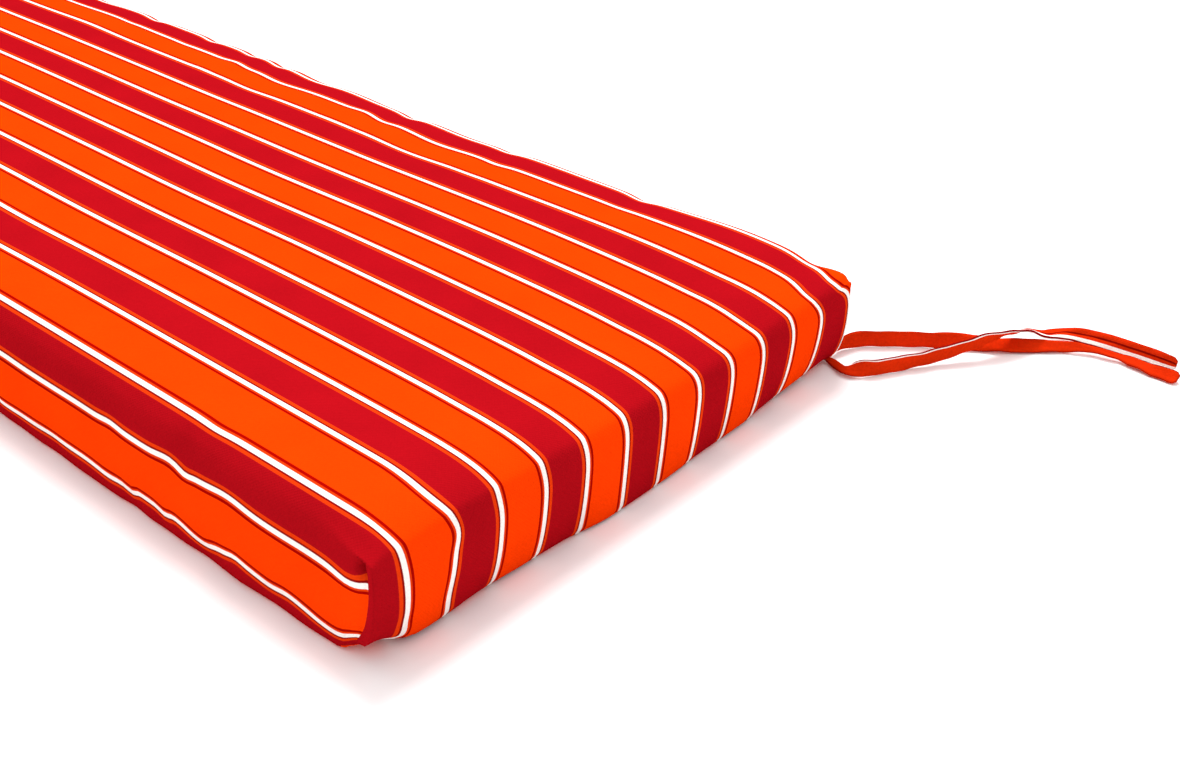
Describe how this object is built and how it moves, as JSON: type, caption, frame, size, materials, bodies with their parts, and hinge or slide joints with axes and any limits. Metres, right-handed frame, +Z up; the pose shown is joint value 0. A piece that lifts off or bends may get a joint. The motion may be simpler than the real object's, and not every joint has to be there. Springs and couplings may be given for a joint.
{
  "type": "bench cushion",
  "caption": "Filled box-edge bench cushion in striped woven cloth, with a crowned top, puckered drawn-in sides, a flat underside and folded fabric ties at a back corner.",
  "frame": {"origin": "on the floor under the middle of the cushion", "axes": "+X along the cushion's length towards the end with the ties, +Y from its front edge to its back edge, +Z up"},
  "size_m": [1.4009, 0.6221, 0.0798],
  "materials": {
    "striped_cover": "matte plain weave, wide orange and red stripes with thin white, dark red and orange lines between them",
    "tie_strip": "matte plain weave, the cover's cloth folded lengthwise, mostly orange with part of a white line along one edge"
  },
  "bodies": {
    "root": {"cushion": "striped_cover", "tie_back": "tie_strip", "tie_front": "tie_strip"}
  },
  "joints": []
}
